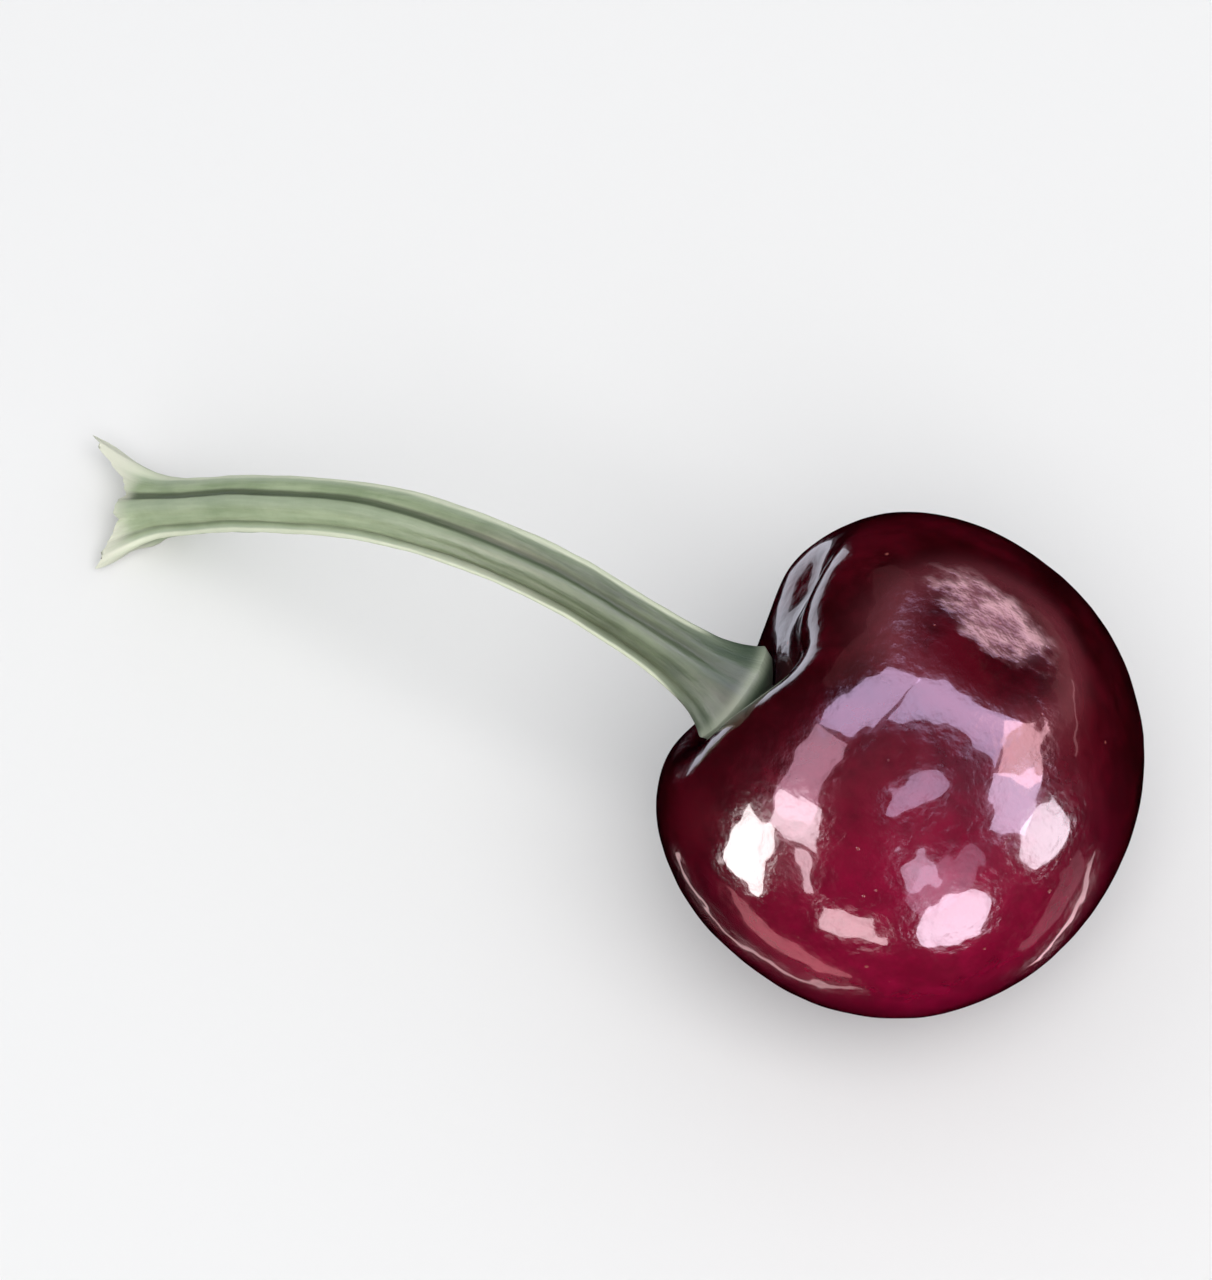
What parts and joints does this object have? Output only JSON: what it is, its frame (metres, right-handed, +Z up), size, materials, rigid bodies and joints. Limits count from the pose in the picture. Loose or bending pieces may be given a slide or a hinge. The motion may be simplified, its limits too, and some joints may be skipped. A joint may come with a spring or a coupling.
{
  "type": "sweet cherry on its stalk",
  "caption": "Dark sweet cherry, full-cheeked and glossy, lying on its side with its green stalk arching out of the cavity and down to the surface.",
  "frame": {"origin": "on the surface that the cherry lies on, under the middle of its bounding box", "axes": "+Z up; -X towards the stalk's free end; Y across the fruit's two cheeks"},
  "size_m": [0.0608, 0.027, 0.0242],
  "materials": {
    "skin": "deep maroon fruit skin, glossy and thinly waxed, with fine pale pores and a few scuffs",
    "stalk": "sage green plant stalk with pale ridges and a darker groove, dull to satin"
  },
  "bodies": {
    "root": {"fruit": "skin", "stalk": "stalk"}
  },
  "joints": []
}
